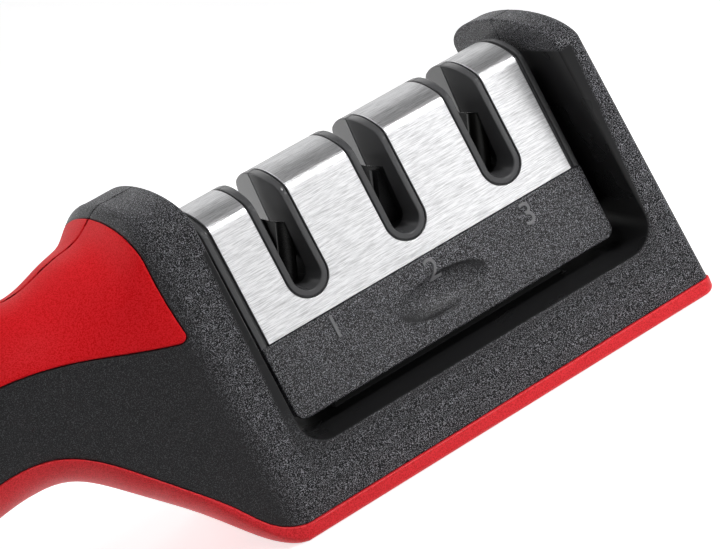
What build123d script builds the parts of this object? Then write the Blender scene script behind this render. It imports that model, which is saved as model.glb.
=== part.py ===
from build123d import *
from math import atan, cos, degrees, radians, sin
import os

# Three-stage pull through knife sharpener, in millimetres.
# X runs along the tool: the handle is at -X, the free end of the head at +X.
# Y is its depth: the front, with the thumb dimple, faces -Y.
# Z is up, from the non-slip pad's underside. X and Y are zero at the cartridge's middle.

# Driving dimensions of the head, a U-shaped frame on a soft pad
head_left = 45.2
head_right = 47.4
head_height = 66.0
right_post_drop = 5.0
head_half_depth = 23.35
post_half_depth = 20.3
post_crown = 6.3
pad_thickness = 3.0
pad_proud = 0.4
pad_edge_round = 1.2
pad_corner_round = 3.0
end_face_lean = 4.6
crease_lean = 3.4
crease_blend = 2.4
end_corner_round = 1.8

# The pocket between the posts
pocket_floor = 14.0
pocket_left = 38.2
pocket_left_lean = 1.6
pocket_right = 40.4
pocket_right_lean = 3.5
pocket_corner_round = 5.5
pocket_rim_round = 0.5

# The handle
handle_length = 112.0
shell_wall = 2.2
grip_thickness = 1.8
grip_corner_round = 1.3
grip_gap = 0.15
seam_width = 0.3
seam_depth = 0.3
hole_length = 14.0
hole_width = 7.0
hole_from_tip = 15.0
hole_height = 39.5
hole_wall = 2.0

# The seat rail and the guide ribs that hold the cartridge
fit = 0.3
seat_rail_height = 3.0
seat_rail_half_length = 26.0
seat_rail_half_depth = 9.0
guide_half_width = 3.0
guide_top = 47.5

# The cartridge
cartridge_half_length = 35.9
flange_thickness = 1.1
panel_height = 14.5
panel_proud = 0.3
panel_corner_round = 2.0
panel_edge_round = 0.3
cartridge_wall = 2.0

# The steel cover
steel_thickness = 0.6
steel_flat_height = 23.2
steel_foot_half_depth = 13.7
steel_bend_half_depth = 9.9
steel_crown_height = 2.9
steel_bend_round = 3.0
steel_gap = 0.1
steel_end_gap = 0.7
steel_foot_gap = 0.15
tab_width = 4.0
tab_depth = 2.4

# The three slots
slot_pitch = 21.75
steel_slot_width = 8.65
slot_foot_height = 3.4
rim_gap = 0.35
rim_width = 1.05
throat_width = 4.6

# The abrasives and their holders
holder_length = 16.6
holder_depth = 12.2
holder_height = 28.6
holder_gap = 0.1
notch_width = 7.0
notch_foot = 17.5
abrasive_lean = 20.0
vee_height = 21.2
coarse_rod_radius = 1.6
fine_rod_radius = 1.9
rod_length = 14.5
abrasive_gap = 0.2
abrasive_top_drop = 0.8
blade_width = 5.0
blade_length = 21.0
blade_thickness = 1.8
blade_edge_width = 0.7
blade_screw_height = 11.5

# Screws
screw_radius = 1.3
screw_head_radius = 2.4
screw_head_height = 1.6
screw_length = 12.0
screw_seat_depth = 4.5
boss_wall = 1.5
small_screw_radius = 0.9
small_screw_head_radius = 1.6
small_screw_head_height = 1.1
small_screw_length = 9.0
small_screw_seat_depth = 3.0
screw_gap = 0.05
cartridge_screw_height = 44.0

# The thumb dimple
dimple_length = 20.0
dimple_height = 7.5
dimple_depth = 1.6

# One overrun serves every cut
overrun = 10.0

# A screw head's cross recess, as shares of the head
cross_length_share = 0.65
cross_width_share = 0.18
cross_depth_share = 0.6

# Control share that makes a cubic curve follow a quarter ellipse
round_share = 0.5523

# Least share of its normal that a face must turn to +X to count as the free end's
facing_share = 0.9

# Where the head's section still holds, as a share of its blend into the handle
blend_turn_share = 0.45

# Places of the ribs beside the holders, as shares of the slots' pitch
rib_pitch_shares = (-1.5, -0.5, 0.5, 1.5)

# The handle's cross-sections, from just past the crease to the tip: places along its length,
# lean of each, top and foot as shares of the head's height
station_x_shares = (0.036, 0.09, 0.161, 0.241, 0.321, 0.463, 0.625, 0.786, 0.902, 0.973, 1.0)
station_lean_shares = (0.88, 0.7, 0.47, 0.24, 0.0, 0.0, 0.0, 0.0, 0.0, 0.0, 0.0)
station_top_shares = (0.961, 0.935, 0.909, 0.9, 0.897, 0.9, 0.885, 0.826, 0.745, 0.665, 0.605)
station_foot_shares = (0.023, 0.124, 0.255, 0.382, 0.43, 0.398, 0.341, 0.326, 0.371, 0.447, 0.51)
# How far the rounded top drops, and the rounded underside climbs, to the flank
station_drop_shares = (0.12, 0.165, 0.197, 0.212, 0.22, 0.227, 0.227, 0.212, 0.167, 0.106, 0.04)
station_rise_shares = (0.03, 0.06, 0.09, 0.121, 0.144, 0.152, 0.159, 0.152, 0.136, 0.083, 0.04)
# Half widths as shares of the head's half depth: upper flank, lower flank, flat underside
station_upper_shares = (0.84, 0.754, 0.677, 0.634, 0.608, 0.625, 0.642, 0.582, 0.48, 0.325, 0.16)
station_lower_shares = (0.934, 0.835, 0.728, 0.655, 0.617, 0.634, 0.642, 0.578, 0.471, 0.317, 0.15)
station_flat_shares = (0.814, 0.6, 0.428, 0.3, 0.236, 0.214, 0.214, 0.193, 0.171, 0.128, 0.064)
inner_station_count = 9

# Where the pad's top edge runs under the handle: along the handle, and up the head
strip_x_shares = (0.034, 0.079, 0.132, 0.186, 0.239, 0.293, 0.355, 0.445, 0.579, 0.713, 0.847, 0.94, 1.06)
strip_z_shares = (0.07, 0.161, 0.267, 0.367, 0.455, 0.509, 0.527, 0.512, 0.455, 0.417, 0.405, 0.4, 0.39)
# A wall across the steep part of that edge stands this much taller than it is thick
steep_wall_share = 1.4
# How steeply that edge falls where it ends, as a share of its run
strip_end_fall_share = 0.08

# The grip's outline in side view: its foot from the head to the tail, then its front edge
grip_foot_x_shares = (0.034, 0.079, 0.135, 0.186, 0.24, 0.3, 0.36, 0.48, 0.64, 0.75, 0.81, 0.84)
grip_foot_z_shares = (0.632, 0.65, 0.678, 0.707, 0.731, 0.747, 0.752, 0.742, 0.7, 0.71, 0.79, 0.95)
grip_front_x_shares = (0.046, 0.041)
grip_front_z_shares = (0.85, 1.02)
grip_top_share = 1.2

# Screws between the shells: along the tool from the middle, and up
shell_screw_x_shares = (-0.62, 0.62, -1.33, -2.7)
shell_screw_z_shares = (0.13, 0.13, 0.79, 0.72)

# Values worked out from those above
crease_x = -head_left
right_post_height = head_height - right_post_drop
blend_start = crease_x + crease_blend
blend_turn = crease_x + crease_blend * blend_turn_share
slot_places = (-slot_pitch, 0.0, slot_pitch)
cartridge_foot = pocket_floor + seat_rail_height + fit
panel_top = cartridge_foot + panel_height
steel_bend = panel_top + steel_flat_height
steel_top = steel_bend + steel_crown_height
body_half_length = cartridge_half_length - flange_thickness
steel_half_length = body_half_length - steel_end_gap
flank_slope = (head_half_depth - post_half_depth) / (head_height - post_crown - pad_edge_round)
steel_slope = (steel_foot_half_depth - steel_bend_half_depth) / steel_flat_height
body_inset = steel_thickness + steel_gap
rib_places = tuple(slot_pitch * share for share in rib_pitch_shares)
rib_half_width = slot_pitch / 2 - holder_length / 2 - holder_gap
cartridge_screw_places = (rib_places[0], rib_places[-1])
slot_radius = steel_slot_width / 2
slot_centre = panel_top + slot_foot_height + slot_radius
throat_radius = throat_width / 2
rim_outer_radius = slot_radius - rim_gap
mouth_radius = rim_outer_radius - rim_width
holder_foot = cartridge_foot + cartridge_wall
holder_top = holder_foot + holder_height
reach = handle_length + head_left + head_right
hole_x = crease_x - handle_length + hole_from_tip


def handle_x(share):
    """A place along the handle: share 0 is the crease at the head, share 1 is the tip."""
    return crease_x - handle_length * share


def extrude_y(face, start, stop):
    """A side view, drawn as x and z, carried across the tool from one depth to another."""
    return Pos(0, start, 0) * extrude(Plane.XZ * face, amount=stop - start, dir=(0, 1, 0))


def extrude_x(face, start, stop):
    """A cross-section in the YZ plane, carried along the tool."""
    return Pos(start, 0, 0) * extrude(face, amount=stop - start, dir=(1, 0, 0))


def block(x0, x1, y0, y1, z0, z1):
    """A box between two corners."""
    return Pos((x0 + x1) / 2, (y0 + y1) / 2, (z0 + z1) / 2) * Box(x1 - x0, y1 - y0, z1 - z0)


def front_half(shape):
    """What lies in front of the parting plane."""
    return shape & block(-reach, reach, -reach, 0, -reach, reach)


def rear_half(shape):
    """What lies behind the parting plane."""
    return shape & block(-reach, reach, 0, reach, -reach, reach)


def bar_y(x, z, radius, start, stop):
    """A round bar or bore that runs across the tool."""
    return extrude_y(Pos(x, z) * Circle(radius), start, stop)


def quarter(start, corner, end):
    """A quarter ellipse from start to end that bulges towards the corner."""
    a, b, c = Vector(*start), Vector(*corner), Vector(*end)
    return Bezier(a, a + (b - a) * round_share, c + (b - c) * round_share, c)


def section(x, lean, top, foot, drop, rise, upper, lower, flat):
    """The shell's closed cross-section at one place; it leans as the crease does."""

    def at(y, z):
        return (x - lean * z / head_height, y, z)

    sides = []
    for side in (-1, 1):
        crown = quarter(at(0, top), at(side * upper, top), at(side * upper, top - drop))
        flank = Line(at(side * upper, top - drop), at(side * lower, foot + rise))
        heel = quarter(at(side * lower, foot + rise), at(side * lower, foot), at(side * flat, foot))
        sides.append([crown, flank, heel])
    sole = Line(at(-flat, foot), at(flat, foot))
    return make_face(sides[0] + [sole] + sides[1][::-1])


def head_section(x, lean, height, inset):
    """The head's cross-section for a post of this height, drawn in all round by the inset."""
    upper = post_half_depth + flank_slope * (head_height - height) - inset
    return section(
        x,
        lean,
        height - inset,
        inset,
        post_crown,
        pad_edge_round,
        upper,
        head_half_depth - inset,
        head_half_depth - pad_edge_round - inset,
    )


def station(i, inset):
    """Cross-section number i of the handle, drawn in all round by the inset."""
    top = head_height * station_top_shares[i]
    foot = head_height * station_foot_shares[i]
    left_over = 1 - 2 * inset / (top - foot)
    return section(
        handle_x(station_x_shares[i]),
        crease_lean * station_lean_shares[i],
        top - inset,
        foot + inset,
        head_height * station_drop_shares[i] * left_over,
        head_height * station_rise_shares[i] * left_over,
        head_half_depth * station_upper_shares[i] - inset,
        head_half_depth * station_lower_shares[i] - inset,
        head_half_depth * station_flat_shares[i] * left_over,
    )


def handle_form(inset=0.0, count=len(station_x_shares)):
    """The handle, lofted through its cross-sections."""
    roots = [head_section(x, crease_lean, head_height, inset) for x in (blend_start, blend_turn)]
    return loft(roots + [station(i, inset) for i in range(count)])


def head_form(inset=0.0):
    """The head without its pocket: its side view crossed with a cross-section for each post."""
    end_top = head_right - inset - end_face_lean * head_height / right_post_height
    outline = Polyline(
        (blend_start, 0),
        (head_right - inset, 0),
        (end_top, head_height),
        (blend_start - crease_lean, head_height),
        close=True,
    )
    side = extrude_y(make_face(outline), -head_half_depth + inset, head_half_depth - inset)
    posts = []
    for height, x0, x1 in ((head_height, -reach, 0), (right_post_height, 0, reach)):
        face = head_section(0, 0, height, inset)
        posts.append(side & extrude_x(face, x0, x1))
    return posts[0] + posts[1]


def pocket_form(grow=0.0):
    """The space between the posts, wider all round by grow."""
    top = head_height + overrun
    rise = (top - pocket_floor) / (head_height - pocket_floor)
    outline = Polyline(
        (-pocket_left - grow, pocket_floor - grow),
        (pocket_right + grow, pocket_floor - grow),
        (pocket_right + grow - pocket_right_lean * rise, top),
        (-pocket_left - grow - pocket_left_lean * rise, top),
        close=True,
    )
    face = make_face(outline)
    corners = face.vertices().sort_by(Axis.Y)[:2]
    face = fillet(corners, pocket_corner_round + grow)
    return extrude_y(face, -head_half_depth - overrun, head_half_depth + overrun)


def strip_edge(lift):
    """The line in side view between the black shell and the red layer under it."""
    start = (crease_x + pad_thickness / 2, pad_thickness + lift)
    points = [start]
    for x_share, z_share in zip(strip_x_shares, strip_z_shares):
        points.append((handle_x(x_share), head_height * z_share + lift * steep_wall_share))
    run = Line((reach, pad_thickness + lift), start)
    rise = Spline(*points, tangents=[(-1, 0), (-1, -strip_end_fall_share)], tangent_scalars=(1, 1))
    return run, rise


def above_strip(lift=0.0):
    """Everything above the red layer."""
    run, rise = strip_edge(lift)
    top = head_height + overrun
    end = rise @ 1
    far = -reach * 2
    rim = Polyline((end.X, end.Y), (far, end.Y), (far, top), (reach, top), (reach, pad_thickness + lift))
    deep = head_half_depth + overrun
    return extrude_y(make_face([run, rise] + rim.edges()), -deep, deep)


def side_points(x_shares, z_shares):
    """Side-view points from shares along the handle and up the head."""
    return [Vector(handle_x(x), head_height * z) for x, z in zip(x_shares, z_shares)]


def beside(points, shift):
    """A run of points moved sideways, to the left of the way that it runs."""
    moved = []
    for i, point in enumerate(points):
        way = points[min(i + 1, len(points) - 1)] - points[max(i - 1, 0)]
        moved.append(point + Vector(-way.Y, way.X).normalized() * shift)
    return moved


def grip_region(grow=0.0):
    """The grip's outline in side view, wider all round by grow, carried across the tool."""
    foot = side_points(grip_foot_x_shares, grip_foot_z_shares)
    front = beside([foot[0]] + side_points(grip_front_x_shares, grip_front_z_shares), -grow)
    foot = beside(foot, grow)
    corner = Vector(front[0].X, foot[0].Y)
    edge = Spline(corner, *foot[1:])
    nose = ThreePointArc(corner, front[1], front[2])
    top = head_height * grip_top_share
    rim = Polyline(front[2], (front[2].X, top), (foot[-1].X, top), foot[-1])
    face = make_face([edge, nose] + rim.edges())
    face = fillet(face.vertices().sort_by_distance(corner)[:1], grip_corner_round + grow)
    return extrude_y(face, -reach, reach)


def shell_screw_places():
    """Side-view places of the screws that hold the two shells together."""
    return [(head_left * x, head_height * z) for x, z in zip(shell_screw_x_shares, shell_screw_z_shares)]


def hanging_slot(grow=0.0):
    """The oblong eye at the handle's end, wider all round by grow."""
    face = Pos(hole_x, hole_height) * SlotOverall(hole_length + 2 * grow, hole_width + 2 * grow)
    return extrude_y(face, -head_half_depth, head_half_depth)


def shell_outer():
    """Both shells as one solid block, without the red layer, pocket or eye."""
    head = head_form()
    end_face = head.faces().filter_by(lambda f: f.normal_at().X > facing_share).sort_by(Axis.X)[-1]
    corners = end_face.edges().filter_by(lambda e: e.center().Z > pad_edge_round)
    head = fillet(corners, end_corner_round)
    whole = head + handle_form()
    pocket = pocket_form()
    cut = whole - pocket
    rims = new_edges(whole, pocket, combined=cut).filter_by(Axis.Y, reverse=True)
    return (fillet(rims, pocket_rim_round) & above_strip()) - hanging_slot()


def shell_cavity():
    """The hollow inside both shells."""
    handle = handle_form(grip_thickness + shell_wall, inner_station_count)
    hollow_end = hole_x + hole_length / 2 + hole_wall
    handle = handle & block(hollow_end, blend_start, -reach, reach, 0, reach)
    head = head_form(shell_wall) - pocket_form(shell_wall)
    return (handle + head) & above_strip(shell_wall)


def grip_blank(grow=0.0):
    """Both grips as one piece, wrapped over the handle's top, or with grow, the recess for them."""
    skin = handle_form() - handle_form(grip_thickness, inner_station_count)
    return skin & grip_region(grow)


def seam_groove():
    """The fine groove where the two halves meet, round the head's and the handle's outside."""
    slab = block(-reach, reach, -seam_width / 2, seam_width / 2, 0, reach)
    return slab - head_form(seam_depth) - handle_form(seam_depth)


def seat_rail():
    """The raised rail on the pocket's floor that the cartridge stands on."""
    return block(
        -seat_rail_half_length,
        seat_rail_half_length,
        -seat_rail_half_depth,
        seat_rail_half_depth,
        pocket_floor,
        pocket_floor + seat_rail_height,
    )


def guide_ribs():
    """Upright ribs on the posts that run in the grooves at the cartridge's ends."""
    tip = body_half_length + fit
    foot = pocket_floor + pocket_corner_round
    left = block(-pocket_left - pocket_left_lean, -tip, -guide_half_width, guide_half_width, foot, guide_top)
    right = block(tip, pocket_right, -guide_half_width, guide_half_width, foot, guide_top)
    return left + right


def moulded_shell(side, block_form, cavity):
    """One moulded half of the frame and handle; side is -1 for the front, 1 for the rear."""
    half = front_half if side < 0 else rear_half
    body = half(block_form)
    for x, z in shell_screw_places():
        boss = bar_y(x, z, screw_head_radius + boss_wall, 0, side * head_half_depth)
        body = body + (boss & cavity)
        bore = screw_radius + screw_gap
        if side < 0:
            body = body - bar_y(x, z, bore, -screw_length, 0)
        else:
            body = body - bar_y(x, z, bore, 0, reach)
            body = body - bar_y(x, z, screw_head_radius + fit, screw_seat_depth, reach)
    return body


def shells():
    """The front and rear shells."""
    cavity = shell_cavity()
    block_form = shell_outer() - seam_groove() - grip_blank(grip_gap) - cavity + seat_rail() + guide_ribs()
    return moulded_shell(-1, block_form, cavity), moulded_shell(1, block_form, cavity)


def screw(x, z, radius, head_radius, head_height, length, seat, way):
    """A pan-head screw across the tool; way is the side of the seat that its head is on."""
    shaft = bar_y(x, z, radius, seat - way * length, seat)
    head = bar_y(x, z, head_radius, seat, seat + way * head_height)
    end = seat + way * head_height
    deep = end - way * head_height * cross_depth_share
    arm = head_radius * cross_length_share
    rib = head_radius * cross_width_share
    y0, y1 = min(end, deep), max(end, deep)
    for half_x, half_z in ((arm, rib), (rib, arm)):
        head = head - block(x - half_x, x + half_x, y0, y1, z - half_z, z + half_z)
    return shaft + head


def grips():
    """The front and rear grip."""
    blank = grip_blank() - seam_groove()
    return front_half(blank), rear_half(blank)


def base_pad():
    """The red non-slip layer under the head and the handle."""
    form = head_form(-pad_proud) + handle_form(-pad_proud)
    form = form - above_strip() - block(-reach, reach, -reach, reach, -reach, 0)
    end = head_right + pad_proud
    depth = 2 * (head_half_depth + pad_proud)
    plan = Pos((end - reach) / 2, 0) * RectangleRounded(end + reach, depth, pad_corner_round)
    bounds = extrude(plan, amount=head_height)
    return form & fillet(bounds.faces().sort_by(Axis.Z)[0].edges(), pad_edge_round)


def skin_face(inset=0.0):
    """The cartridge's cross-section at the steel's outer face, drawn in all round by the inset."""
    foot_half = steel_foot_half_depth + steel_slope * panel_height
    edges = Polyline(
        (-steel_bend_half_depth, steel_bend),
        (-foot_half, cartridge_foot),
        (foot_half, cartridge_foot),
        (steel_bend_half_depth, steel_bend),
    ).edges()
    crown = ThreePointArc(
        (-steel_bend_half_depth, steel_bend), (0, steel_top), (steel_bend_half_depth, steel_bend)
    )
    face = make_face(edges + [crown])
    if inset:
        face = offset(face, amount=-inset, kind=Kind.INTERSECTION)
    bends = face.vertices().sort_by(Axis.Y)[-2:]
    return fillet(bends, steel_bend_round - inset)


def skin_form(inset, half_length):
    """That cross-section carried along the cartridge."""
    return extrude_x(Plane.YZ * skin_face(inset), -half_length, half_length)


def slot_face(x, radius):
    """A round-footed notch in side view, open at the top."""
    top = head_height + overrun
    edges = [
        Line((x - radius, top), (x - radius, slot_centre)),
        ThreePointArc((x - radius, slot_centre), (x, slot_centre - radius), (x + radius, slot_centre)),
        Line((x + radius, slot_centre), (x + radius, top)),
        Line((x + radius, top), (x - radius, top)),
    ]
    return make_face(edges)


def knife_slot(x):
    """The way through for the blade: it narrows from both faces to a throat at the middle."""
    mouth_y = steel_foot_half_depth + overrun
    mouth = throat_radius + (mouth_radius - throat_radius) * mouth_y / steel_foot_half_depth
    faces = []
    for y, radius in ((-mouth_y, mouth), (0, throat_radius)):
        faces.append(Pos(0, y, 0) * (Plane.XZ * slot_face(x, radius)))
    front = loft(faces, ruled=True)
    return front + mirror(front, about=Plane.XZ)


def cartridge_block():
    """Both cartridge halves as one closed block with its panel, flanges and slot liners."""
    panel = skin_form(-panel_proud, cartridge_half_length)
    panel = panel & block(-reach, reach, -reach, reach, cartridge_foot, panel_top)
    corners = panel.edges().filter_by(Axis.Y).sort_by(Axis.Z)[:2]
    panel = fillet(corners, panel_corner_round)
    rims = panel.faces().sort_by(Axis.Y)[0].edges() + panel.faces().sort_by(Axis.Y)[-1].edges()
    panel = fillet(rims, panel_edge_round)
    body = skin_form(body_inset, body_half_length) + panel
    flanges = skin_form(0, cartridge_half_length) - skin_form(0, body_half_length)
    flanges = flanges & block(-reach, reach, -reach, reach, panel_top, reach)
    body = body + flanges
    for x in slot_places:
        liner = skin_form(0, cartridge_half_length) & extrude_y(slot_face(x, rim_outer_radius), -reach, reach)
        body = body + liner
    return body


def cartridge_cavity():
    """The hollow inside both halves: it leaves the liners and the ribs between the holders."""
    hollow = skin_form(body_inset + cartridge_wall, body_half_length - cartridge_wall)
    hollow = hollow & block(-reach, reach, -reach, reach, holder_foot, reach)
    for x in rib_places:
        hollow = hollow - block(x - rib_half_width, x + rib_half_width, -reach, reach, 0, reach)
    for x in slot_places:
        hollow = hollow - extrude_y(slot_face(x, rim_outer_radius), -reach, reach)
    for x in slot_places:
        half_length = holder_length / 2 + holder_gap
        half_depth = holder_depth / 2 + holder_gap
        hollow = hollow + block(
            x - half_length, x + half_length, -half_depth, half_depth, holder_foot, holder_top + holder_gap
        )
    return hollow


def arc_radius(chord, height):
    """Radius of the arc that stands this high over its chord."""
    return (chord**2 / 4 + height**2) / (2 * height)


def thumb_dimple(side):
    """The leaf-shaped hollow that a thumb presses: a round bar, bent to an arc, sunk in the panel's face."""
    z = cartridge_foot + panel_height / 2
    y = steel_foot_half_depth + steel_slope * panel_height / 2 + panel_proud
    bar = arc_radius(dimple_height, dimple_depth)
    bend = arc_radius(dimple_length, dimple_depth)
    ring = Pos(0, side * (bend - dimple_depth), 0) * Torus(bend - bar, bar)
    return Pos(0, side * y, z) * Rot(side * degrees(atan(steel_slope)), 0, 0) * ring


def steel_tabs(grow=0.0):
    """The tabs folded in at the steel's foot, or with grow, the slots that they sit in."""
    inner = steel_foot_half_depth - steel_thickness - tab_depth - grow
    outer = steel_foot_half_depth - steel_thickness / 2
    z0 = panel_top + steel_foot_gap
    tabs = []
    for x in rib_places[1:3]:
        for side in (-1, 1):
            y0, y1 = sorted((side * inner, side * outer))
            half = tab_width / 2 + grow
            tabs.append(block(x - half, x + half, y0, y1, z0 - grow, z0 + steel_thickness + grow))
    return tabs


def cartridge_halves():
    """The front and rear moulding of the cartridge."""
    body = cartridge_block() - cartridge_cavity()
    for x in slot_places:
        body = body - knife_slot(x)
    for tab_slot in steel_tabs(steel_gap):
        body = body - tab_slot
    for side in (-1, 1):
        body = body - thumb_dimple(side)
        groove = sorted((side * body_half_length, side * reach))
        half_width = guide_half_width + fit
        body = body - block(groove[0], groove[1], -half_width, half_width, 0, guide_top + fit)
    front, rear = front_half(body), rear_half(body)
    for x in cartridge_screw_places:
        bore = small_screw_radius + screw_gap
        front = front - bar_y(x, cartridge_screw_height, bore, -small_screw_length, 0)
        rear = rear - bar_y(x, cartridge_screw_height, bore, 0, reach)
        sink = small_screw_head_radius + screw_gap
        rear = rear - bar_y(x, cartridge_screw_height, sink, small_screw_seat_depth, reach)
    return front, rear


def steel_cover():
    """The bent stainless saddle with its three notches and the tabs that hold it."""
    cover = skin_form(0, steel_half_length) - skin_form(steel_thickness, cartridge_half_length)
    cover = cover & block(-reach, reach, -reach, reach, panel_top + steel_foot_gap, reach)
    for x in slot_places:
        cover = cover - extrude_y(slot_face(x, slot_radius), -reach, reach)
    for tab in steel_tabs():
        cover = cover + tab
    return cover


def holder_blank(x):
    """An abrasive holder before its bores: a block with a notch that the knife passes through."""
    half = holder_length / 2
    depth = holder_depth / 2
    blank = block(x - half, x + half, -depth, depth, holder_foot, holder_top)
    notch = block(x - notch_width / 2, x + notch_width / 2, -reach, reach, holder_foot + notch_foot, reach)
    return blank - notch


def rod(x, radius, side, grow=0.0):
    """An abrasive rod that leans to +X in front and to -X behind; grow makes its bore."""
    lean = radians(abrasive_lean)
    crossing = holder_foot + vee_height - radius / sin(lean)
    top = (holder_top - abrasive_top_drop - crossing) / cos(lean)
    y = side * (radius + abrasive_gap / 2)
    bar = Pos(0, 0, top - rod_length / 2) * Cylinder(radius + grow, rod_length + 2 * grow)
    return Pos(x, y, crossing) * Rot(0, -side * abrasive_lean, 0) * bar


def rods(x, radius):
    """The two crossed rods of one stage."""
    return rod(x, radius, -1), rod(x, radius, 1)


def rod_holder(x, radius):
    """A holder with two crossed bores for rods."""
    return holder_blank(x) - rod(x, radius, -1, screw_gap) - rod(x, radius, 1, screw_gap)


def blade(side, grow=0.0):
    """A carbide blade that leans to +X in front and to -X behind; grow makes its pocket."""
    lean = radians(abrasive_lean)
    top = (holder_top - abrasive_top_drop - holder_foot - vee_height) / cos(lean)
    outline = Rectangle(blade_width + 2 * grow, blade_length + 2 * grow)
    face = Pos(blade_width / 2, top - blade_length / 2) * outline
    y0 = abrasive_gap / 2 - grow
    plate = extrude_y(face, y0, y0 + blade_thickness + 2 * grow)
    if not grow:
        edge = plate.edges().filter_by(Axis.Z).sort_by(lambda e: (e.center().X, -e.center().Y))[0]
        plate = chamfer(edge, blade_edge_width)
    plate = Pos(0, 0, holder_foot + vee_height) * Rot(0, abrasive_lean, 0) * plate
    if side < 0:
        plate = mirror(plate, about=Plane.XZ)
    else:
        plate = mirror(plate, about=Plane.YZ)
    if not grow:
        screw_height = holder_foot + blade_screw_height
        plate = plate - bar_y(0, screw_height, small_screw_radius + screw_gap, -reach, reach)
    return plate


def blade_holder():
    """The holder of the two carbide blades, with the bore of their screw."""
    body = holder_blank(0) - blade(-1, screw_gap) - blade(1, screw_gap)
    z = holder_foot + blade_screw_height
    seat = -small_screw_seat_depth
    body = body - bar_y(0, z, small_screw_radius + screw_gap, seat, seat + small_screw_length)
    return body - bar_y(0, z, small_screw_head_radius + screw_gap, -reach, seat)


def small_screw(x, z, seat, way):
    """One of the small pan-head screws that hold the cartridge together."""
    head_radius, head_height = small_screw_head_radius, small_screw_head_height
    return screw(x, z, small_screw_radius, head_radius, head_height, small_screw_length, seat, way)


def shell_screws():
    """The screws that hold the shells together, driven from the rear."""
    return [
        screw(x, z, screw_radius, screw_head_radius, screw_head_height, screw_length, screw_seat_depth, 1)
        for x, z in shell_screw_places()
    ]


def save(name, *solids):
    """Write one named piece, or one group of like pieces, to its own file."""
    shape = solids[0] if len(solids) == 1 else Compound(children=list(solids))
    export_step(shape, f"parts/{name}.step")


def main():
    """Build every piece and write it to parts/."""
    os.makedirs("parts", exist_ok=True)
    front_shell, rear_shell = shells()
    save("front_shell", front_shell)
    save("rear_shell", rear_shell)
    front_grip, rear_grip = grips()
    save("front_grip", front_grip)
    save("rear_grip", rear_grip)
    save("base_pad", base_pad())
    save("shell_screws", *shell_screws())

    front, rear = cartridge_halves()
    save("cartridge_front_half", front)
    save("cartridge_rear_half", rear)
    save("steel_cover", steel_cover())
    height, seat = cartridge_screw_height, small_screw_seat_depth
    save("cartridge_screws", *[small_screw(x, height, seat, 1) for x in cartridge_screw_places])

    coarse_x, blade_x, fine_x = slot_places
    save("coarse_rod_holder", rod_holder(coarse_x, coarse_rod_radius))
    coarse_front, coarse_rear = rods(coarse_x, coarse_rod_radius)
    save("coarse_rod_front", coarse_front)
    save("coarse_rod_rear", coarse_rear)
    save("blade_holder", blade_holder())
    save("carbide_blade_front", blade(-1))
    save("carbide_blade_rear", blade(1))
    screw_height = holder_foot + blade_screw_height
    save("blade_screw", small_screw(blade_x, screw_height, -small_screw_seat_depth, -1))
    save("fine_rod_holder", rod_holder(fine_x, fine_rod_radius))
    fine_front, fine_rear = rods(fine_x, fine_rod_radius)
    save("fine_rod_front", fine_front)
    save("fine_rod_rear", fine_rear)


if __name__ == "__main__":
    main()
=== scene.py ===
"""Looks of a pull through knife sharpener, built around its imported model.

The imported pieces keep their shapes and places. This script breaks their sharp edges as a mould or a
press leaves them, raises the stage numbers, dresses every piece in its finish, and sets the studio
that the photograph was taken in. Lengths are in metres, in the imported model's own frame: +X runs
from the handle to the free end, -Y is the front and +Z is up.
"""

import logging
import math
from dataclasses import dataclass, field
from enum import Enum

import bpy
from mathutils import Matrix, Vector
from mathutils.bvhtree import BVHTree

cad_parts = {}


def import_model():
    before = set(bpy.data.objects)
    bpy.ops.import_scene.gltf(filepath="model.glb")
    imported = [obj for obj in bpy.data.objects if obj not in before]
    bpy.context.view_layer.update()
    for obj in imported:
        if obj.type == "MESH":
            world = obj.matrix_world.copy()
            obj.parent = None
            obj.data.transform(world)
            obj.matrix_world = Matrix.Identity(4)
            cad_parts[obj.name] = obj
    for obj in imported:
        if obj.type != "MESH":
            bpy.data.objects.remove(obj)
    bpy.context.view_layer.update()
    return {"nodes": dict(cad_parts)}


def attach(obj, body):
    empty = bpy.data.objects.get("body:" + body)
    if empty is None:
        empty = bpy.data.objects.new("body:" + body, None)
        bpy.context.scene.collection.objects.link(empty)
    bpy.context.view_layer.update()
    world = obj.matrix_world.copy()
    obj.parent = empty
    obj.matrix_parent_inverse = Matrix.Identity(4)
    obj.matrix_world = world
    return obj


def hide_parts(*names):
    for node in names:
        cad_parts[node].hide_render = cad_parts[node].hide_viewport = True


MM = 0.001
MOST_OF_NOISE = (0.3, 0.7)  # the range that nearly all values of a noise pattern lie in

log = logging.getLogger("sharpener")

Colour = tuple[float, float, float]
Box = tuple[Vector, Vector]
Place = tuple[float, float, float]


def clear_selection() -> None:
    """Deselect every object, so that the next operator acts on its own piece alone."""
    for obj in bpy.context.selected_objects:
        obj.select_set(False)
    bpy.context.view_layer.objects.active = None


def pick(obj: bpy.types.Object) -> None:
    """Select one object alone and make it the active one.

    Args:
        obj: The object that the next operator acts on.
    """
    clear_selection()
    obj.select_set(True)
    bpy.context.view_layer.objects.active = obj


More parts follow.
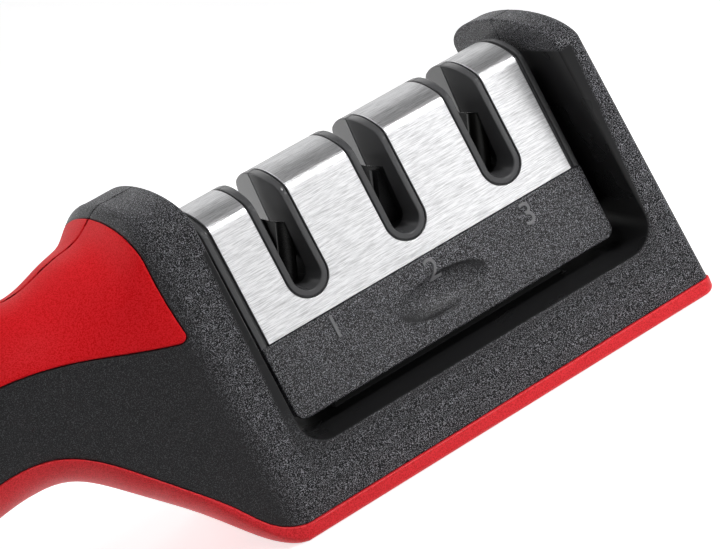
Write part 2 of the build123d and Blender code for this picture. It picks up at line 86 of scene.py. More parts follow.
class Weave:
    """A short way to lay out the node tree of one material."""

    def __init__(self, name: str) -> None:
        """Make an empty material with a principled shader.

        Args:
            name: The material's name.
        """
        self.material = bpy.data.materials.new(name)
        self.material.use_nodes = True
        self.tree = self.material.node_tree
        self.shader = self.tree.nodes["Principled BSDF"]
        self.coords = self.tree.nodes.new("ShaderNodeTexCoord")

    def node(self, kind: str, **settings: object) -> bpy.types.Node:
        """Add a node.

        Args:
            kind: The node's type, without its ShaderNode prefix.
            settings: Properties to set on it.

        Returns:
            The new node.
        """
        made = self.tree.nodes.new("ShaderNode" + kind)
        for key, value in settings.items():
            setattr(made, key, value)
        return made

    def join(self, source: bpy.types.NodeSocket, target: bpy.types.NodeSocket) -> None:
        """Link an output to an input."""
        self.tree.links.new(source, target)

    def place(self) -> bpy.types.NodeSocket:
        """Object coordinates, in metres."""
        return self.coords.outputs["Object"]

    def along(self, axis: str) -> bpy.types.NodeSocket:
        """One of the object coordinates.

        Args:
            axis: X, Y or Z.

        Returns:
            The coordinate's output.
        """
        parts = self.node("SeparateXYZ")
        self.join(self.place(), parts.inputs["Vector"])
        return parts.outputs[axis]

    def stretched(self, scale: tuple[float, float, float]) -> bpy.types.NodeSocket:
        """Object coordinates, scaled along each axis.

        Args:
            scale: Features per metre along X, Y and Z.

        Returns:
            The vector output.
        """
        mapping = self.node("Mapping")
        mapping.inputs["Scale"].default_value = scale
        self.join(self.place(), mapping.inputs["Vector"])
        return mapping.outputs["Vector"]

    def noise(
        self, vector: bpy.types.NodeSocket, scale: float, detail: float = 2.0, rough: float = 0.5
    ) -> bpy.types.NodeSocket:
        """A noise pattern.

        Args:
            vector: Where the pattern reads its place.
            scale: Features per unit of that vector.
            detail: Octaves of finer noise.
            rough: How strong the finer octaves are.

        Returns:
            The pattern's value output.
        """
        made = self.node("TexNoise")
        made.inputs["Scale"].default_value = scale
        made.inputs["Detail"].default_value = detail
        made.inputs["Roughness"].default_value = rough
        self.join(vector, made.inputs["Vector"])
        return made.outputs["Fac"]

    def remap(
        self, value: bpy.types.NodeSocket, low: float, high: float, to_low: float, to_high: float
    ) -> bpy.types.NodeSocket:
        """Map a range of values onto another, clamped at both ends.

        Args:
            value: The value to map.
            low: Start of the range that is read.
            high: End of the range that is read.
            to_low: What the start becomes.
            to_high: What the end becomes.

        Returns:
            The mapped value.
        """
        made = self.node("MapRange")
        made.inputs["From Min"].default_value = low
        made.inputs["From Max"].default_value = high
        made.inputs["To Min"].default_value = to_low
        made.inputs["To Max"].default_value = to_high
        self.join(value, made.inputs["Value"])
        return made.outputs["Result"]

    def product(
        self, first: bpy.types.NodeSocket, second: bpy.types.NodeSocket
    ) -> bpy.types.NodeSocket:
        """Multiply two values.

        Args:
            first: One value.
            second: The other value.

        Returns:
            Their product.
        """
        made = self.node("Math", operation="MULTIPLY")
        self.join(first, made.inputs[0])
        self.join(second, made.inputs[1])
        return made.outputs[0]

    def blend(
        self, factor: bpy.types.NodeSocket, first: Colour, second: Colour
    ) -> bpy.types.NodeSocket:
        """Mix two plain colours by a factor.

        Args:
            factor: 0 shows the first colour and 1 the second.
            first: The first colour.
            second: The second colour.

        Returns:
            The mixed colour.
        """
        made = self.node("Mix", data_type="RGBA")
        made.inputs["A"].default_value = (*first, 1.0)
        made.inputs["B"].default_value = (*second, 1.0)
        self.join(factor, made.inputs["Factor"])
        return made.outputs["Result"]

    def relief(
        self,
        height: bpy.types.NodeSocket,
        depth: float,
        under: bpy.types.NodeSocket | None = None,
    ) -> bpy.types.NodeSocket:
        """Turn a height pattern into a bumped normal.

        Args:
            height: The pattern, from 0 to 1.
            depth: The relief's full depth, in metres.
            under: The normal of a coarser relief that this one lies on.

        Returns:
            The normal.
        """
        made = self.node("Bump")
        made.inputs["Strength"].default_value = 1.0
        made.inputs["Distance"].default_value = depth
        self.join(height, made.inputs["Height"])
        if under is not None:
            self.join(under, made.inputs["Normal"])
        return made.outputs["Normal"]


@dataclass(frozen=True)
class Finish:
    """What every finish has: a name, a colour, a roughness and how strongly it mirrors."""

    name: str
    colour: Colour
    roughness: float
    specular: float = 0.5

    def start(self) -> Weave:
        """Begin the material with the values that all finishes share.

        Returns:
            The node layout, with its shader's plain values set.
        """
        weave = Weave(self.name)
        weave.shader.inputs["Base Color"].default_value = (*self.colour, 1.0)
        weave.shader.inputs["Roughness"].default_value = self.roughness
        weave.shader.inputs["Specular IOR Level"].default_value = self.specular
        return weave

    def make(self) -> bpy.types.Material:
        """Lay out the whole material; each kind of finish has its own way."""
        raise NotImplementedError


@dataclass(frozen=True)
class GrainedPlastic(Finish):
    """Black moulded plastic with a spark eroded grain, left smooth in some places."""

    fleck: Colour = (0.38, 0.38, 0.41)
    grain_size: float = 0.16 * MM
    grain_depth: float = 0.05 * MM
    patch_size: float = 9.0 * MM
    fleck_starts: float = 0.53
    fleck_full: float = 0.64
    # Colour where there is no grain; on the cartridge's slot walls its lighter grey is a painted
    # reflection.
    smooth_colour: Colour = (0.022, 0.022, 0.023)
    smooth_roughness: float = 0.3
    uneven_by: float = 0.15

    def grained(self, weave: Weave) -> bpy.types.NodeSocket:
        """Where the grain is; each moulding has its own places."""
        raise NotImplementedError

    def shaded(self, weave: Weave, bright: bpy.types.NodeSocket) -> bpy.types.NodeSocket:
        """Paint shade into the flecks where a moulding asks for it: nowhere, unless it says so."""
        return bright

    def make(self) -> bpy.types.Material:
        """Lay out the grain with its flecks, and a faint broad unevenness.

        Returns:
            The material.
        """
        weave = self.start()
        where = self.grained(weave)
        grain = weave.noise(weave.place(), 1 / self.grain_size, 1.0, 0.5)
        colour = weave.node("Mix", data_type="RGBA")
        bright = weave.remap(grain, self.fleck_starts, self.fleck_full, 0.0, 1.0)
        bright = self.shaded(weave, bright)
        colour.inputs["A"].default_value = (*self.smooth_colour, 1.0)
        weave.join(weave.blend(bright, self.colour, self.fleck), colour.inputs["B"])
        weave.join(where, colour.inputs["Factor"])
        weave.join(colour.outputs["Result"], weave.shader.inputs["Base Color"])
        patches = weave.noise(weave.place(), 1 / self.patch_size, 2.0)
        uneven = weave.remap(patches, *MOST_OF_NOISE, 1 - self.uneven_by, 1 + self.uneven_by)
        rough = weave.remap(where, 0.0, 1.0, self.smooth_roughness, self.roughness)
        weave.join(weave.product(rough, uneven), weave.shader.inputs["Roughness"])
        relief = weave.relief(weave.product(grain, where), self.grain_depth)
        weave.join(relief, weave.shader.inputs["Normal"])
        return weave.material


@dataclass(frozen=True)
class PocketedPlastic(GrainedPlastic):
    """The frame's moulding: grained on the head, unflecked in the pocket, partly as a smooth moulding
    and partly as painted shade, and with its flecks faded on the handle beyond the crease as painted
    shade.
    """

    # The pocket is left unflecked, partly as a smooth moulding and partly as painted shade in the
    # recess.
    pocket_half_width: float = 41.0 * MM
    pocket_half_depth: float = 23.0 * MM
    pocket_top: float = 55.0 * MM
    blur: float = 0.8 * MM
    crease_slope: float = 3.4 / 66.0
    # Painted shade on the handle: where it starts and ends along the crease's slant, and the share of
    # flecks left in it.
    painted_shade_from: float = -43.6 * MM
    painted_shade_to: float = -48.0 * MM
    painted_shade_share: float = 0.16

    def within(
        self, weave: Weave, value: bpy.types.NodeSocket, limit: float
    ) -> bpy.types.NodeSocket:
        """Tell how far a place is inside a limit.

        Args:
            weave: The material's node layout.
            value: The place along one axis.
            limit: The limit along that axis.

        Returns:
            1 inside the limit and 0 outside it.
        """
        return weave.remap(value, limit - self.blur, limit, 1.0, 0.0)

    def grained(self, weave: Weave) -> bpy.types.NodeSocket:
        """Where the grain is.

        Args:
            weave: The material's node layout.

        Returns:
            1 on the grained faces, less on the handle beyond the crease as painted shade, and 0 in
            the pocket, partly as painted shade.
        """
        # Partly painted shade: the pocket's faces lose their flecks, which darkens the recess.
        pocket = self.within(weave, weave.along("Z"), self.pocket_top)
        for axis, limit in (("X", self.pocket_half_width), ("Y", self.pocket_half_depth)):
            size = weave.node("Math", operation="ABSOLUTE")
            weave.join(weave.along(axis), size.inputs[0])
            pocket = weave.product(pocket, self.within(weave, size.outputs[0], limit))
        outside = weave.remap(pocket, 0.0, 1.0, 1.0, 0.0)
        # Painted shade: beyond the crease, where the handle's flank turns from the light, the flecks
        # fade to a small share.
        slant = weave.node("VectorMath", operation="DOT_PRODUCT")
        weave.join(weave.place(), slant.inputs[0])
        slant.inputs[1].default_value = (1.0, 0.0, self.crease_slope)
        along = slant.outputs["Value"]
        head = weave.remap(along, self.painted_shade_to, self.painted_shade_from, self.painted_shade_share, 1.0)
        return weave.product(outside, head)


@dataclass(frozen=True)
class LinedPlastic(GrainedPlastic):
    """The cartridge's moulding: grained on its panel, smooth in the slots above it, whose lighter
    grey is a painted reflection, and with painted shade in the panel's dimple.
    """

    grain_top: float = 31.9 * MM
    blur: float = 0.1 * MM
    # Painted shade in the dimple: where it lies and how the flecks dim towards its edge.
    dimple_size: tuple[float, float] = (20.0 * MM, 7.5 * MM)
    dimple_middle: tuple[float, float] = (0.0, 24.55 * MM)
    dimple_shade: float = 0.9
    shade_starts: float = 0.3
    shade_full: float = 0.92
    shade_ends: tuple[float, float] = (0.97, 1.05)
    slanted_by: float = 0.2
    least_share: float = 0.2

    def grained(self, weave: Weave) -> bpy.types.NodeSocket:
        """Where the grain is.

        Args:
            weave: The material's node layout.

        Returns:
            1 on the panel and 0 above it.
        """
        return weave.remap(weave.along("Z"), self.grain_top, self.grain_top + self.blur, 1.0, 0.0)

    def shaded(self, weave: Weave, bright: bpy.types.NodeSocket) -> bpy.types.NodeSocket:
        """Paint shade into the dimple: dim the flecks towards its edge, most at its upper right and
        lower left.

        Args:
            weave: The material's node layout.
            bright: How bright the flecks are on the plain panel.

        Returns:
            How bright they are everywhere.
        """
        mapping = weave.node("Mapping")
        across, up = self.dimple_size
        scale = (2 / across, 0.0, 2 / up)
        mapping.inputs["Scale"].default_value = scale
        mapping.inputs["Location"].default_value = (
            -self.dimple_middle[0] * scale[0],
            0.0,
            -self.dimple_middle[1] * scale[2],
        )
        weave.join(weave.place(), mapping.inputs["Vector"])
        radius = weave.node("VectorMath", operation="LENGTH")
        weave.join(mapping.outputs["Vector"], radius.inputs[0])
        out = radius.outputs["Value"]
        inner = weave.remap(out, self.shade_starts, self.shade_full, 0.0, self.dimple_shade)
        edge = weave.remap(out, *self.shade_ends, 1.0, 0.0)
        parts = weave.node("SeparateXYZ")
        weave.join(mapping.outputs["Vector"], parts.inputs["Vector"])
        corner = weave.product(parts.outputs["X"], parts.outputs["Z"])
        leaf = weave.remap(corner, -self.slanted_by, self.slanted_by, self.least_share, 1.0)
        # Painted shade: strongest towards the dimple's rim, most at its upper right and lower left.
        shade = weave.product(weave.product(inner, edge), leaf)
        return weave.product(bright, weave.remap(shade, 0.0, 1.0, 1.0, 0.0))


@dataclass(frozen=True)
class SoftTouch(Finish):
    """Soft red rubber with a matt skin and a very fine grain."""

    pale: Colour = (1.0, 0.02, 0.03)
    grain_size: float = 0.25 * MM
    grain_depth: float = 0.05 * MM
    patch_size: float = 12.0 * MM
    pale_starts: float = 0.38
    pale_full: float = 0.56
    uneven_by: float = 0.06

    def make(self) -> bpy.types.Material:
        """Lay out the grain with its paler points, and patches that shine more or less.

        Returns:
            The material.
        """
        weave = self.start()
        grain = weave.noise(weave.place(), 1 / self.grain_size, 3.0, 0.6)
        patches = weave.noise(weave.place(), 1 / self.patch_size, 3.0)
        points = weave.remap(grain, self.pale_starts, self.pale_full, 0.0, 1.0)
        colour = weave.blend(points, self.colour, self.pale)
        weave.join(colour, weave.shader.inputs["Base Color"])
        least, most = self.roughness - self.uneven_by, self.roughness + self.uneven_by
        rough = weave.remap(patches, *MOST_OF_NOISE, least, most)
        weave.join(rough, weave.shader.inputs["Roughness"])
        weave.join(weave.relief(grain, self.grain_depth), weave.shader.inputs["Normal"])
        return weave.material


@dataclass(frozen=True)
class BrushedSteel(Finish):
    """Stainless sheet brushed along the tool in short, uneven strokes."""

    dark: Colour = (0.4, 0.4, 0.41)
    stroke_length: float = 3.0 * MM
    stroke_width: float = 0.17 * MM
    long_stroke_length: float = 12.0 * MM
    long_stroke_width: float = 0.34 * MM
    stroke_depth: float = 0.004 * MM
    mark_starts: float = 0.3
    mark_ends: float = 0.6
    shinier_by: float = 0.06
    duller_by: float = 0.08

    def make(self) -> bpy.types.Material:
        """Lay out two lengths of stroke that scratch, shade and dull the metal.

        Returns:
            The material.
        """
        weave = self.start()
        across = 1 / self.stroke_width
        long_across = 1 / self.long_stroke_width
        short_places = weave.stretched((1 / self.stroke_length, across, across))
        short = weave.noise(short_places, 1.0, 3.0, 0.65)
        long_places = weave.stretched((1 / self.long_stroke_length, long_across, long_across))
        long = weave.noise(long_places, 1.0, 2.0)
        marks = weave.remap(short, self.mark_starts, self.mark_ends, 0.0, 1.0)
        weave.join(weave.blend(marks, self.dark, self.colour), weave.shader.inputs["Base Color"])
        least, most = self.roughness - self.shinier_by, self.roughness + self.duller_by
        rough = weave.remap(long, *MOST_OF_NOISE, least, most)
        weave.join(rough, weave.shader.inputs["Roughness"])
        weave.shader.inputs["Metallic"].default_value = 1.0
        coarse = weave.relief(long, self.stroke_depth)
        fine = weave.relief(short, self.stroke_depth, under=coarse)
        weave.join(fine, weave.shader.inputs["Normal"])
        return weave.material


@dataclass(frozen=True)
class GritCoat(Finish):
    """A hard surface with a fine, even grit, bright or dull by its values."""

    grit: Colour = (0.6, 0.6, 0.6)
    grit_starts: float = 0.4
    grit_full: float = 0.7
    grit_size: float = 0.12 * MM
    grit_depth: float = 0.03 * MM
    metallic: float = 0.0

    def make(self) -> bpy.types.Material:
        """Lay out the grit's colour and relief.

        Returns:
            The material.
        """
        weave = self.start()
        grit = weave.noise(weave.place(), 1 / self.grit_size, 2.0, 0.7)
        points = weave.remap(grit, self.grit_starts, self.grit_full, 0.0, 1.0)
        colour = weave.blend(points, self.colour, self.grit)
        weave.join(colour, weave.shader.inputs["Base Color"])
        weave.shader.inputs["Metallic"].default_value = self.metallic
        weave.join(weave.relief(grit, self.grit_depth), weave.shader.inputs["Normal"])
        return weave.material


class Coat(Enum):
    """The finishes of this tool."""

    FRAME = PocketedPlastic("grained_black", (0.005, 0.005, 0.006), 0.42, 0.15)
    LINING = LinedPlastic(
        "lined_black",
        (0.005, 0.005, 0.006),
        0.42,
        0.28,
        # The slot walls' lighter grey than the black panel is a painted reflection on the same black
        # moulding.
        smooth_colour=(0.1, 0.1, 0.104),
        smooth_roughness=0.2,
    )
    # The numerals share the panel's black moulding; their lighter grey is a painted highlight for the
    # light that their raised edges catch.
    NUMERAL = GritCoat("raised_black_with_painted_highlight", (0.18, 0.18, 0.187), 0.3, grit=(0.25, 0.25, 0.26))
    GRIP = SoftTouch("soft_red", (0.84, 0.002, 0.003), 0.5, 0.12)
    PAD = SoftTouch("pale_red", (0.76, 0.006, 0.01), 0.42, 0.32, pale=(1.0, 0.035, 0.05))
    COVER = BrushedSteel("brushed_steel", (0.74, 0.74, 0.75), 0.38)
    HOLDER = GritCoat("moulded_grey", (0.012, 0.012, 0.013), 0.55, 0.2, grit=(0.02, 0.02, 0.021))
    DIAMOND = GritCoat(
        "diamond_coat", (0.03, 0.03, 0.03), 0.5, 0.3, grit=(0.1, 0.1, 0.1), metallic=0.5
    )
    CARBIDE = GritCoat(
        "ground_carbide", (0.05, 0.05, 0.052), 0.35, grit=(0.08, 0.08, 0.082), metallic=1.0
    )
    CERAMIC = GritCoat("dark_ceramic", (0.012, 0.012, 0.011), 0.35, 0.3, grit=(0.02, 0.019, 0.018))
    SCREW = GritCoat(
        "plated_screw", (0.55, 0.56, 0.58), 0.25, grit=(0.65, 0.66, 0.68), metallic=1.0
    )


class Workshop:
    """Keeps one material of each finish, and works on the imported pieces."""

    weld = 0.002 * MM
    tolerance = 0.02 * MM

    def __init__(self, nodes: dict[str, bpy.types.Object]) -> None:
        """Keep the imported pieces.

        Args:
            nodes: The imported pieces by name.
        """
        self.nodes = nodes
        self.made: dict[Coat, bpy.types.Material] = {}

    def material(self, coat: Coat) -> bpy.types.Material:
        """Find the material of a finish, or make it the first time that it is asked for.

        Args:
            coat: The finish.

        Returns:
            Its material.
        """
        if coat not in self.made:
            self.made[coat] = coat.value.make()
        return self.made[coat]

    def dress(self, coat: Coat, *names: str) -> None:
        """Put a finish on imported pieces.

        Args:
            coat: The finish.
            names: The pieces' names.
        """
        for name in names:
            obj = self.nodes[name]
            obj.data.materials.clear()
            obj.data.materials.append(self.material(coat))
            log.info("%s wears %s", name, coat.value.name)

    def soften(
        self,
        name: str,
        coat: Coat,
        body: str,
        width: float,
        least: float = 32.0,
        crisp: Box | None = None,
    ) -> None:
        """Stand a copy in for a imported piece, with its sharp edges rounded.

        Args:
            name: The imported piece.
            coat: Its finish.
            body: The moving body that it belongs to.
            width: How wide the rounding is.
            least: The least turn at an edge that is rounded, in degrees.
            crisp: A box whose edges stay as they are.
        """
        piece = bpy.data.objects.new(f"{name}_finished", self.nodes[name].data.copy())
        bpy.context.scene.collection.objects.link(piece)
        pick(piece)
        bpy.ops.object.mode_set(mode="EDIT")
        bpy.ops.mesh.select_all(action="SELECT")
        bpy.ops.mesh.remove_doubles(threshold=self.weld)
        bpy.ops.object.mode_set(mode="OBJECT")
        turn = math.radians(least)
        bpy.ops.object.shade_smooth_by_angle(angle=turn)
        self.mark_edges(piece.data, turn, crisp)
        surface = BVHTree.FromPolygons(
            [vertex.co.copy() for vertex in piece.data.vertices],
            [tuple(face.vertices) for face in piece.data.polygons],
        )
        bevel = piece.modifiers.new("rounding", "BEVEL")
        bevel.width = width
        bevel.segments = 2
        bevel.limit_method = "WEIGHT"
        bevel.use_clamp_overlap = False
        bevel.loop_slide = False
        bpy.ops.object.modifier_apply(modifier=bevel.name)
        strays = self.draw_back(piece.data, surface, width)
        weigh = piece.modifiers.new("weighing", "WEIGHTED_NORMAL")
        weigh.keep_sharp = True
        bpy.ops.object.modifier_apply(modifier=weigh.name)
        piece.data.materials.clear()
        piece.data.materials.append(self.material(coat))
        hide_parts(name)
        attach(piece, body)
        faces = len(piece.data.polygons)
        log.info("%s softened, %d faces, %d points drawn back", name, faces, strays)

    def mark_edges(self, mesh: bpy.types.Mesh, least: float, crisp: Box | None) -> None:
        """Weigh the edges that get rounded.

        Args:
            mesh: The piece's mesh.
            least: The least turn at such an edge, in radians.
            crisp: A box whose edges stay as they are.
        """
        weights = mesh.attributes.new("bevel_weight_edge", "FLOAT", "EDGE")
        beside: dict[tuple[int, int], list[Vector]] = {}
        for face in mesh.polygons:
            for key in face.edge_keys:
                beside.setdefault(key, []).append(face.normal)
        for edge in mesh.edges:
            normals = beside.get(edge.key, [])
            if len(normals) != 2 or normals[0].angle(normals[1]) < least:
                continue
            start, end = (mesh.vertices[corner].co for corner in edge.key)
            if crisp is None or not self.inside((start + end) / 2, crisp):
                weights.data[edge.index].value = 1.0

    def inside(self, place: Vector, box: Box) -> bool:
        """Tell whether a place lies in a box."""
        return all(low < value < high for low, value, high in zip(box[0], place, box[1]))

    def draw_back(self, mesh: bpy.types.Mesh, surface: BVHTree, width: float) -> int:
        """Put points that the rounding threw off the piece back on it.

        Args:
            mesh: The rounded mesh.
            surface: The piece's faces before the rounding.
            width: How wide the rounding is.

        Returns:
            How many points were put back.
        """
        strays = 0
        for vertex in mesh.vertices:
            nearest, normal, _, distance = surface.find_nearest(vertex.co)
            outside = (vertex.co - nearest).dot(normal) > self.tolerance
            if distance > width or outside:
                vertex.co = nearest
                strays += 1
        return strays


@dataclass
class Frame:
    """The U-shaped frame and its handle: two shells, two grips, the pad and their screws."""

    body: str = "frame"
    shell_rounding: float = 0.2 * MM
    grip_rounding: float = 0.35 * MM
    pad_rounding: float = 0.3 * MM

    def build(self, workshop: Workshop) -> None:
        """Soften and dress the pieces.

        Args:
            workshop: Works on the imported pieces.
        """
        for name in ("front_shell", "rear_shell"):
            workshop.soften(name, Coat.FRAME, self.body, self.shell_rounding)
        for name in ("front_grip", "rear_grip"):
            workshop.soften(name, Coat.GRIP, self.body, self.grip_rounding)
        workshop.soften("base_pad", Coat.PAD, self.body, self.pad_rounding)
        workshop.dress(Coat.SCREW, "shell_screws")


@dataclass
class Cartridge:
    """The lift-out cartridge: two halves under a slotted steel cover, with their abrasives."""

    body: str = "cartridge"
    moulding_rounding: float = 0.2 * MM
    steel_rounding: float = 0.1 * MM
    dimples: Box = field(
        default_factory=lambda: (Vector((-14, -30, 18.5)) * MM, Vector((15, 30, 30)) * MM)
    )

    def build(self, workshop: Workshop) -> None:
        """Soften and dress the pieces.

        Args:
            workshop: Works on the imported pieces.
        """
        for name in ("cartridge_front_half", "cartridge_rear_half"):
            workshop.soften(
                name,
                Coat.LINING,
                self.body,
                self.moulding_rounding,
                crisp=self.dimples,
            )
        workshop.soften("steel_cover", Coat.COVER, self.body, self.steel_rounding)
        workshop.dress(Coat.HOLDER, "coarse_rod_holder", "blade_holder", "fine_rod_holder")
        workshop.dress(Coat.DIAMOND, "coarse_rod_front", "coarse_rod_rear")
        workshop.dress(Coat.CARBIDE, "carbide_blade_front", "carbide_blade_rear")
        workshop.dress(Coat.CERAMIC, "fine_rod_front", "fine_rod_rear")
        workshop.dress(Coat.SCREW, "cartridge_screws", "blade_screw")


@dataclass
class Numerals:
    """The raised stage numbers under the slots, draped over the front panel and its dimple."""

    words: str = "123"
    height: float = 4.3 * MM
    height_share: float = 0.7
    slot_pitch: float = 21.75 * MM
    middle: float = 28.8 * MM
    proud: float = 0.28 * MM
    sunk: float = 0.12 * MM
    rounding: float = 0.14 * MM
    thinning: float = 0.1 * MM
    voxel: float = 0.05 * MM
    modelled_at: float = 1000.0
    reach: float = 30.0 * MM

    def build(self, workshop: Workshop) -> None:
        """Raise one number under each slot.

        Args:
            workshop: Gives the panel and the finish.
        """
        panel = workshop.nodes["cartridge_front_half"]
        surface = BVHTree.FromObject(panel, bpy.context.evaluated_depsgraph_get())
        for slots_over, word in enumerate(self.words, start=-1):
            obj = self.cut_number(word)
            self.drape(obj, slots_over * self.slot_pitch, surface)
            obj.data.materials.append(workshop.material(Coat.NUMERAL))
            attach(obj, "cartridge")
            log.info("%s raised, %d faces", obj.name, len(obj.data.polygons))

    def cut_number(self, word: str) -> bpy.types.Object:
        """Make one number as a thin, round-edged slab of small faces, flat in the XY plane.

        Args:
            word: The number.

        Returns:
            The number, at its real size.
        """
        clear_selection()
        bpy.ops.object.text_add(location=(0, 0, 0))
        obj = bpy.context.active_object
        obj.name = f"numeral_{word}"
        text = obj.data
        text.body = word
        text.align_x = "CENTER"
        text.align_y = "CENTER"
        text.size = self.height / self.height_share * self.modelled_at
        text.offset = -self.thinning * self.modelled_at
        text.extrude = ((self.proud + self.sunk) / 2 - self.rounding) * self.modelled_at
        text.bevel_depth = self.rounding * self.modelled_at
        text.bevel_resolution = 3
        bpy.ops.object.convert(target="MESH")
        obj = bpy.context.active_object
        remesh = obj.modifiers.new("small_faces", "REMESH")
        remesh.mode = "VOXEL"
        remesh.voxel_size = self.voxel * self.modelled_at
        bpy.ops.object.modifier_apply(modifier=remesh.name)
        bpy.ops.object.shade_smooth()
        obj.data.transform(Matrix.Scale(1 / self.modelled_at, 4))
        return obj

    def drape(self, obj: bpy.types.Object, x: float, surface: BVHTree) -> None:
        """Stand the slab upright and lay it on the panel, point by point.

        Args:
            obj: The number.
            x: Where its middle goes along the tool.
            surface: The panel's faces.
        """
        half = (self.proud + self.sunk) / 2
        for vertex in obj.data.vertices:
            across, up, out = vertex.co
            place = Vector((x + across, -self.reach, self.middle + up))
            hit = surface.ray_cast(place, Vector((0, 1, 0)))[0]
            vertex.co = (place.x, hit.y - out + half - self.proud, place.z)


@dataclass(frozen=True)
class Spot:
    """A soft spot lamp: its name, where it stands, what it points at, its cone and its power."""

    name: str
    place: Place
    target: Place
    cone_degrees: float
    power: float

    def light(self, radius: float) -> None:
        """Stand the lamp in the scene; its light fades away from its axis.

        Args:
            radius: How large the lamp is, which softens its shadows.
        """
        data = bpy.data.lights.new(self.name, "SPOT")
        data.energy = self.power
        data.spot_size = math.radians(self.cone_degrees)
        data.spot_blend = 1.0
        data.shadow_soft_size = radius
        lamp = bpy.data.objects.new(self.name, data)
        lamp.location = self.place
        back = Vector(self.place) - Vector(self.target)
        lamp.rotation_euler = back.to_track_quat("Z", "Y").to_euler()
        bpy.context.scene.collection.objects.link(lamp)


@dataclass(frozen=True)
class Panel:
    """A soft square lamp: its name, where it hangs and its power."""

    name: str
    place: Place
    power: float

    def light(self, size: float, target: Vector) -> None:
        """Hang the lamp in the scene, facing its target.

        Args:
            size: Its side.
            target: What it faces.
        """
        data = bpy.data.lights.new(self.name, "AREA")
        data.size = size
        data.energy = self.power
        lamp = bpy.data.objects.new(self.name, data)
        lamp.location = self.place
        back = Vector(self.place) - target
        lamp.rotation_euler = back.to_track_quat("Z", "Y").to_euler()
        bpy.context.scene.collection.objects.link(lamp)


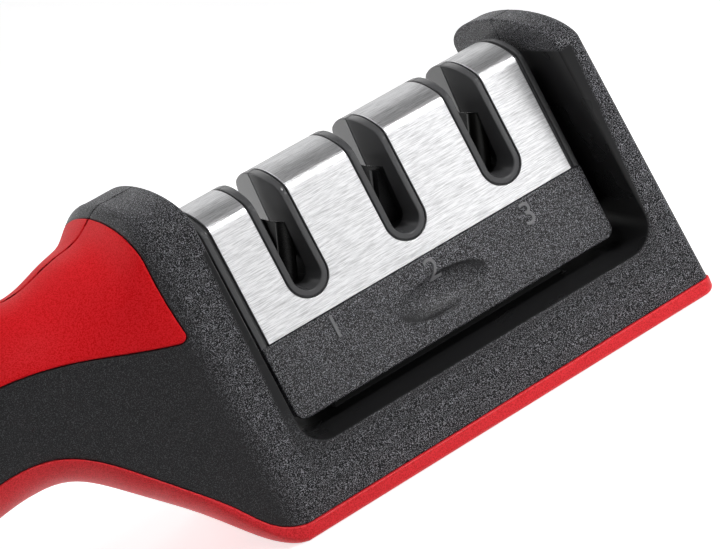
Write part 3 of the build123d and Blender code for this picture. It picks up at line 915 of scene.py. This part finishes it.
@dataclass
class Studio:
    """A pale floor, soft lamps and the camera, placed as the photograph was taken."""

    eye: Vector = field(default_factory=lambda: Vector((-189.6, -473.8, 172.7)) * MM)
    aim: Vector = field(default_factory=lambda: Vector((1.0, 0.0, 33.0)) * MM)
    roll: float = math.radians(-24.11)
    photo_width: int = 720
    photo_height: int = 549
    focal_pixels: float = 2851.0
    aim_pixel: tuple[float, float] = (393.0, 241.4)
    sensor_width: float = 36.0
    floor_size: float = 6.0
    floor_colour: Colour = (0.85, 0.85, 0.85)
    floor_roughness: float = 0.9
    floor_glow: float = 0.72
    fill_level: float = 0.08
    ceiling_level: float = 0.18
    ceiling_from: float = 0.06
    ceiling_to: float = 0.65
    near_limit: float = 10 * MM
    far_limit: float = 10.0
    spot_radius: float = 0.2
    spots: tuple[Spot, ...] = (
        Spot("key_spot", (0.5, -0.7, 0.8), (0.095, 0.0, 0.06), 18.0, 66.0),
        Spot("low_spot", (0.6, -0.7, 0.25), (0.09, 0.0, 0.07), 22.0, 12.0),
        Spot("grip_spot", (-0.5, -0.3, 0.8), (-0.09, 0.0, 0.06), 12.0, 20.0),
    )
    panel_size: float = 0.5
    panels: tuple[Panel, ...] = (
        Panel("top_lamp", (0.0, 0.1, 1.1), 0.6),
        Panel("side_lamp", (-0.8, 0.2, 0.6), 1.1),
        Panel("rim_lamp", (0.3, 0.8, 0.6), 0.6),
        Panel("back_lamp", (-0.5, 0.7, 0.6), 1.5),
    )

    def photograph(self) -> None:
        """Place the camera, with the small shift that puts the aim at its pixel."""
        back = (self.eye - self.aim).normalized()
        right = Vector((0, 0, 1)).cross(back).normalized()
        up = back.cross(right)
        rolled_right = right * math.cos(self.roll) + up * math.sin(self.roll)
        rolled_up = back.cross(rolled_right)
        turn = Matrix((rolled_right, rolled_up, back)).transposed()
        data = bpy.data.cameras.new("camera")
        data.sensor_width = self.sensor_width
        data.lens = self.focal_pixels * self.sensor_width / self.photo_width
        data.shift_x = (self.photo_width / 2 - self.aim_pixel[0]) / self.photo_width
        data.shift_y = (self.aim_pixel[1] - self.photo_height / 2) / self.photo_width
        data.clip_start = self.near_limit
        data.clip_end = self.far_limit
        camera = bpy.data.objects.new("camera", data)
        camera.matrix_world = Matrix.Translation(self.eye) @ turn.to_4x4()
        bpy.context.scene.collection.objects.link(camera)
        bpy.context.scene.camera = camera

    def lay_floor(self) -> None:
        """Make the floor, which shows white to the camera and keeps the tool's shadow."""
        clear_selection()
        bpy.ops.mesh.primitive_plane_add(size=self.floor_size, location=(0, 0, 0))
        floor = bpy.context.active_object
        floor.name = "floor"
        material = bpy.data.materials.new("pale_floor")
        material.use_nodes = True
        tree = material.node_tree
        shader = tree.nodes["Principled BSDF"]
        shader.inputs["Base Color"].default_value = (*self.floor_colour, 1.0)
        shader.inputs["Roughness"].default_value = self.floor_roughness
        shader.inputs["Specular IOR Level"].default_value = 0.0
        shader.inputs["Emission Color"].default_value = (1, 1, 1, 1)
        glow = tree.nodes.new("ShaderNodeMath")
        glow.operation = "MULTIPLY"
        glow.inputs[1].default_value = self.floor_glow
        tree.links.new(self.watching_rays(tree), glow.inputs[0])
        tree.links.new(glow.outputs[0], shader.inputs["Emission Strength"])
        floor.data.materials.append(material)

    def watching_rays(self, tree: bpy.types.NodeTree) -> bpy.types.NodeSocket:
        """Tell the rays that see the background from those that only light the tool.

        Args:
            tree: The node tree that asks.

        Returns:
            1 for camera, glossy and transmission rays, and 0 for the others.
        """
        path = tree.nodes.new("ShaderNodeLightPath")
        seen = path.outputs["Is Camera Ray"]
        for kind in ("Is Glossy Ray", "Is Transmission Ray"):
            either = tree.nodes.new("ShaderNodeMath")
            either.operation = "MAXIMUM"
            tree.links.new(seen, either.inputs[0])
            tree.links.new(path.outputs[kind], either.inputs[1])
            seen = either.outputs[0]
        return seen

    def light_world(self) -> None:
        """Surround the tool with white, which grows darker upwards for all but the camera."""
        world = bpy.data.worlds.new("world")
        bpy.context.scene.world = world
        world.use_nodes = True
        tree = world.node_tree
        background = tree.nodes["Background"]
        coords = tree.nodes.new("ShaderNodeTexCoord")
        parts = tree.nodes.new("ShaderNodeSeparateXYZ")
        tree.links.new(coords.outputs["Generated"], parts.inputs["Vector"])
        fade = tree.nodes.new("ShaderNodeMapRange")
        fade.inputs["From Min"].default_value = self.ceiling_from
        fade.inputs["From Max"].default_value = self.ceiling_to
        fade.inputs["To Min"].default_value = 1.0
        fade.inputs["To Max"].default_value = self.ceiling_level
        tree.links.new(parts.outputs["Z"], fade.inputs["Value"])
        level = tree.nodes.new("ShaderNodeMapRange")
        level.inputs["To Min"].default_value = self.fill_level
        tree.links.new(self.watching_rays(tree), level.inputs["Value"])
        tree.links.new(fade.outputs["Result"], level.inputs["To Max"])
        path = tree.nodes.new("ShaderNodeLightPath")
        strength = tree.nodes.new("ShaderNodeMath")
        strength.operation = "MAXIMUM"
        tree.links.new(path.outputs["Is Camera Ray"], strength.inputs[0])
        tree.links.new(level.outputs["Result"], strength.inputs[1])
        tree.links.new(strength.outputs[0], background.inputs["Strength"])
        background.inputs["Color"].default_value = (1, 1, 1, 1)

    def build(self) -> None:
        """Set the camera, the floor and the light."""
        bpy.context.scene.view_settings.view_transform = "Standard"
        self.photograph()
        self.lay_floor()
        self.light_world()
        for spot in self.spots:
            spot.light(self.spot_radius)
        for panel in self.panels:
            panel.light(self.panel_size, self.aim)
        log.info("studio set with %d lamps", len(self.spots) + len(self.panels))


def main() -> None:
    """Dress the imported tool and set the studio."""
    logging.basicConfig(level=logging.INFO, format="%(name)s: %(message)s")
    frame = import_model()
    workshop = Workshop(frame["nodes"])
    Numerals().build(workshop)
    Frame().build(workshop)
    Cartridge().build(workshop)
    Studio().build()


if __name__ == "__main__":
    main()
